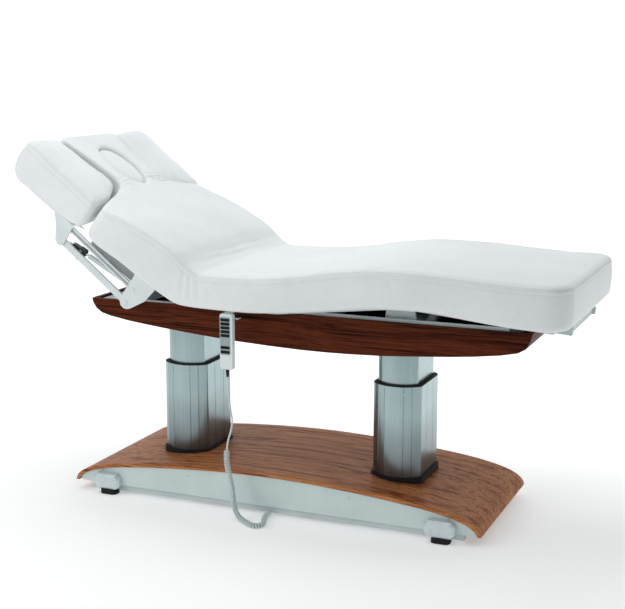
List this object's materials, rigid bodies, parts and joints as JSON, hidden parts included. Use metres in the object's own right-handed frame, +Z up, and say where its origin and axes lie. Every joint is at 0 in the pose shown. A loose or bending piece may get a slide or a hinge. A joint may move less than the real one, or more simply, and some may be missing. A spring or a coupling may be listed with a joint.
{
  "type": "facial treatment bed",
  "caption": "Facial treatment bed with tilting back, leg end and head rest with removable face plug, swinging arm pads, lifting columns, arched base, boat-shaped tray and corded handset.",
  "frame": {"origin": "on the floor, under the middle of the bed's overall length and width", "axes": "+X towards the foot end, +Y towards the side away from the handset, +Z up"},
  "size_m": [1.9374, 0.788, 1.2452],
  "materials": {
    "base_wood": "satin lacquered walnut veneer, fine lengthwise grain",
    "tray_wood": "satin lacquered dark walnut veneer, fine lengthwise grain",
    "silver_panel": "satin silver lacquer",
    "frame_steel": "light grey powder coat",
    "foot_grey": "satin silver, bevelled",
    "black_rubber": "matt black",
    "column_aluminium": "satin anodised",
    "zinc_steel": "bright zinc",
    "black_plastic": "fine matt texture",
    "drive_grey": "grey die-cast housing",
    "white_plastic": "semi-gloss",
    "white_paint": "semi-gloss white powder coat",
    "gas_black": "satin black",
    "gas_silver": "light silver paint",
    "gas_rod_steel": "hard chromed",
    "lined_board": "board faced with light grey laminate",
    "upholstery": "white coated upholstery, fine leather-like grain, double stitched seams",
    "cord_grey": "light grey matt sheath"
  },
  "bodies": {
    "base": {"base_cover": "base_wood", "base_sides": "silver_panel", "base_frame": "frame_steel", "foot_blocks": "foot_grey", "foot_pads": "black_rubber", "column_outer": "column_aluminium", "column_gaskets": "black_rubber", "column_wipers": "black_rubber", "base_screws": "zinc_steel", "lift_drives": "drive_grey", "cord_coil": "cord_grey"},
    "carriage": {"column_inner": "column_aluminium", "lift_push_tubes": "zinc_steel", "main_frame": "frame_steel", "tray_sides": "tray_wood", "tray_wrap": "tray_wood", "seat_frame": "frame_steel", "seat_board": "lined_board", "seat_cushion": "upholstery", "hinge_pins": "zinc_steel", "control_box": "black_plastic", "handset_hook": "white_paint", "handset_body": "white_plastic", "handset_gland": "black_plastic", "cord_lead": "cord_grey"},
    "back_section": {"back_frame": "frame_steel", "back_board": "lined_board", "back_cushion": "upholstery", "arm_gussets": "white_paint"},
    "leg_section": {"leg_frame": "frame_steel", "leg_board": "lined_board", "leg_cushion": "upholstery"},
    "head_section": {"head_bracket": "frame_steel", "head_cushion": "upholstery"},
    "face_plug": {"face_plug": "upholstery"},
    "back_drive_tube": {"back_actuator_tube": "drive_grey"},
    "back_drive_rod": {"back_actuator_rod": "zinc_steel"},
    "leg_drive_tube": {"leg_actuator_tube": "drive_grey"},
    "leg_drive_rod": {"leg_actuator_rod": "zinc_steel"},
    "lower_link_near": {"arm_link_lower_near": "white_paint"},
    "upper_link_near": {"arm_link_upper_near": "white_paint"},
    "arm_rest_near": {"arm_carrier_near": "white_paint", "arm_pad_near": "upholstery"},
    "gas_cylinder_near": {"gas_spring_cylinder_near": "gas_silver"},
    "gas_rod_near": {"gas_spring_rod_near": "gas_rod_steel"},
    "lever_near": {"release_lever_near": "gas_black"},
    "lower_link_far": {"arm_link_lower_far": "white_paint"},
    "upper_link_far": {"arm_link_upper_far": "white_paint"},
    "arm_rest_far": {"arm_carrier_far": "white_paint", "arm_pad_far": "upholstery"},
    "gas_cylinder_far": {"gas_spring_cylinder_far": "gas_silver"},
    "gas_rod_far": {"gas_spring_rod_far": "gas_rod_steel"},
    "lever_far": {"release_lever_far": "gas_black"},
    "key_1": {"key_1": "black_plastic"},
    "key_2": {"key_2": "black_plastic"},
    "key_3": {"key_3": "black_plastic"},
    "key_4": {"key_4": "black_plastic"},
    "key_5": {"key_5": "black_plastic"},
    "key_6": {"key_6": "black_plastic"},
    "key_7": {"key_7": "black_plastic"}
  },
  "joints": [
    {"name": "lift", "type": "slide", "parent": "base", "child": "carriage", "axis": [0, 0, 1], "range_m": [-0.1, 0.2], "deforming": ["cord_lead", "cord_coil"]},
    {"name": "back_tilt", "type": "hinge", "parent": "carriage", "child": "back_section", "pos_m": [-0.339, 0, 0.688], "axis": [0, 1, 0], "range_deg": [-31.5, 32]},
    {"name": "leg_tilt", "type": "hinge", "parent": "carriage", "child": "leg_section", "pos_m": [0.417, 0, 0.735], "axis": [0, -1, 0], "range_deg": [0, 25]},
    {"name": "head_tilt", "type": "hinge", "parent": "back_section", "child": "head_section", "pos_m": [-0.72162, 0, 0.95803], "axis": [0, 1, 0], "range_deg": [-35, 15]},
    {"name": "plug_lift", "type": "slide", "parent": "head_section", "child": "face_plug", "axis": [0.5878, 0, 0.809], "range_m": [0, 0.12]},
    {"name": "back_drive_pivot", "type": "hinge", "parent": "carriage", "child": "back_drive_tube", "pos_m": [0.052, 0.128, 0.645], "axis": [0, 1, 0], "range_deg": [-3, 3]},
    {"name": "back_drive_rod", "type": "slide", "parent": "back_drive_tube", "child": "back_drive_rod", "axis": [-1, 0, 0.0051], "range_m": [-0.023, 0.023]},
    {"name": "leg_drive_pivot", "type": "hinge", "parent": "carriage", "child": "leg_drive_tube", "pos_m": [-0.018, -0.128, 0.651], "axis": [0, -1, 0], "range_deg": [0, 2.6]},
    {"name": "leg_drive_rod", "type": "slide", "parent": "leg_drive_tube", "child": "leg_drive_rod", "axis": [0.9998, 0, 0.0182], "range_m": [0, 0.032]},
    {"name": "arm_swing_near", "type": "hinge", "parent": "back_section", "child": "lower_link_near", "pos_m": [-0.572, -0.2935, 0.701], "axis": [0, -1, 0], "range_deg": [0, 30]},
    {"name": "arm_upper_link_near", "type": "hinge", "parent": "back_section", "child": "upper_link_near", "pos_m": [-0.541, -0.2935, 0.748], "axis": [0, -1, 0], "range_deg": [0, 30]},
    {"name": "arm_carrier_near", "type": "hinge", "parent": "lower_link_near", "child": "arm_rest_near", "pos_m": [-0.824, -0.2935, 0.903], "axis": [0, -1, 0], "range_deg": [-30, 0]},
    {"name": "gas_pivot_near", "type": "hinge", "parent": "back_section", "child": "gas_cylinder_near", "pos_m": [-0.541, -0.276, 0.748], "axis": [0, -1, 0], "range_deg": [0, 29]},
    {"name": "gas_rod_near", "type": "slide", "parent": "gas_cylinder_near", "child": "gas_rod_near", "axis": [-0.8771, 0, 0.4804], "range_m": [0, 0.0285]},
    {"name": "release_near", "type": "hinge", "parent": "arm_rest_near", "child": "lever_near", "pos_m": [-0.824, -0.287, 0.903], "axis": [0, -1, 0], "range_deg": [0, 10], "stiffness_Nm_per_rad": 2, "springref_deg": -8.59},
    {"name": "arm_swing_far", "type": "hinge", "parent": "back_section", "child": "lower_link_far", "pos_m": [-0.572, 0.2935, 0.701], "axis": [0, -1, 0], "range_deg": [0, 30]},
    {"name": "arm_upper_link_far", "type": "hinge", "parent": "back_section", "child": "upper_link_far", "pos_m": [-0.541, 0.2935, 0.748], "axis": [0, -1, 0], "range_deg": [0, 30]},
    {"name": "arm_carrier_far", "type": "hinge", "parent": "lower_link_far", "child": "arm_rest_far", "pos_m": [-0.824, 0.2935, 0.903], "axis": [0, -1, 0], "range_deg": [-30, 0]},
    {"name": "gas_pivot_far", "type": "hinge", "parent": "back_section", "child": "gas_cylinder_far", "pos_m": [-0.541, 0.276, 0.748], "axis": [0, -1, 0], "range_deg": [0, 29]},
    {"name": "gas_rod_far", "type": "slide", "parent": "gas_cylinder_far", "child": "gas_rod_far", "axis": [-0.8771, 0, 0.4804], "range_m": [0, 0.0285]},
    {"name": "release_far", "type": "hinge", "parent": "arm_rest_far", "child": "lever_far", "pos_m": [-0.824, 0.287, 0.903], "axis": [0, -1, 0], "range_deg": [0, 10], "stiffness_Nm_per_rad": 2, "springref_deg": -8.59},
    {"name": "press_key_1", "type": "slide", "parent": "carriage", "child": "key_1", "axis": [0, 1, 0], "range_m": [0, 0.0012], "stiffness_N_per_m": 300, "springref_m": -0.0005},
    {"name": "press_key_2", "type": "slide", "parent": "carriage", "child": "key_2", "axis": [0, 1, 0], "range_m": [0, 0.0012], "stiffness_N_per_m": 300, "springref_m": -0.0005},
    {"name": "press_key_3", "type": "slide", "parent": "carriage", "child": "key_3", "axis": [0, 1, 0], "range_m": [0, 0.0012], "stiffness_N_per_m": 300, "springref_m": -0.0005},
    {"name": "press_key_4", "type": "slide", "parent": "carriage", "child": "key_4", "axis": [0, 1, 0], "range_m": [0, 0.0012], "stiffness_N_per_m": 300, "springref_m": -0.0005},
    {"name": "press_key_5", "type": "slide", "parent": "carriage", "child": "key_5", "axis": [0, 1, 0], "range_m": [0, 0.0012], "stiffness_N_per_m": 300, "springref_m": -0.0005},
    {"name": "press_key_6", "type": "slide", "parent": "carriage", "child": "key_6", "axis": [0, 1, 0], "range_m": [0, 0.0012], "stiffness_N_per_m": 300, "springref_m": -0.0005},
    {"name": "press_key_7", "type": "slide", "parent": "carriage", "child": "key_7", "axis": [0, 1, 0], "range_m": [0, 0.0012], "stiffness_N_per_m": 300, "springref_m": -0.0005}
  ],
  "couplings": [
    {"joint": "back_drive_pivot", "follows": "back_tilt", "ratio": 0.083163},
    {"joint": "back_drive_rod", "follows": "back_tilt", "m_per_rad": 0.039796},
    {"joint": "leg_drive_pivot", "follows": "leg_tilt", "ratio": 0.092829},
    {"joint": "leg_drive_rod", "follows": "leg_tilt", "m_per_rad": 0.069784},
    {"joint": "arm_upper_link_near", "follows": "arm_swing_near", "ratio": 1},
    {"joint": "arm_carrier_near", "follows": "arm_swing_near", "ratio": -1},
    {"joint": "gas_pivot_near", "follows": "arm_swing_near", "ratio": 0.95526},
    {"joint": "gas_rod_near", "follows": "arm_swing_near", "m_per_rad": 0.053818},
    {"joint": "arm_upper_link_far", "follows": "arm_swing_far", "ratio": 1},
    {"joint": "arm_carrier_far", "follows": "arm_swing_far", "ratio": -1},
    {"joint": "gas_pivot_far", "follows": "arm_swing_far", "ratio": 0.95526},
    {"joint": "gas_rod_far", "follows": "arm_swing_far", "m_per_rad": 0.053818}
  ]
}
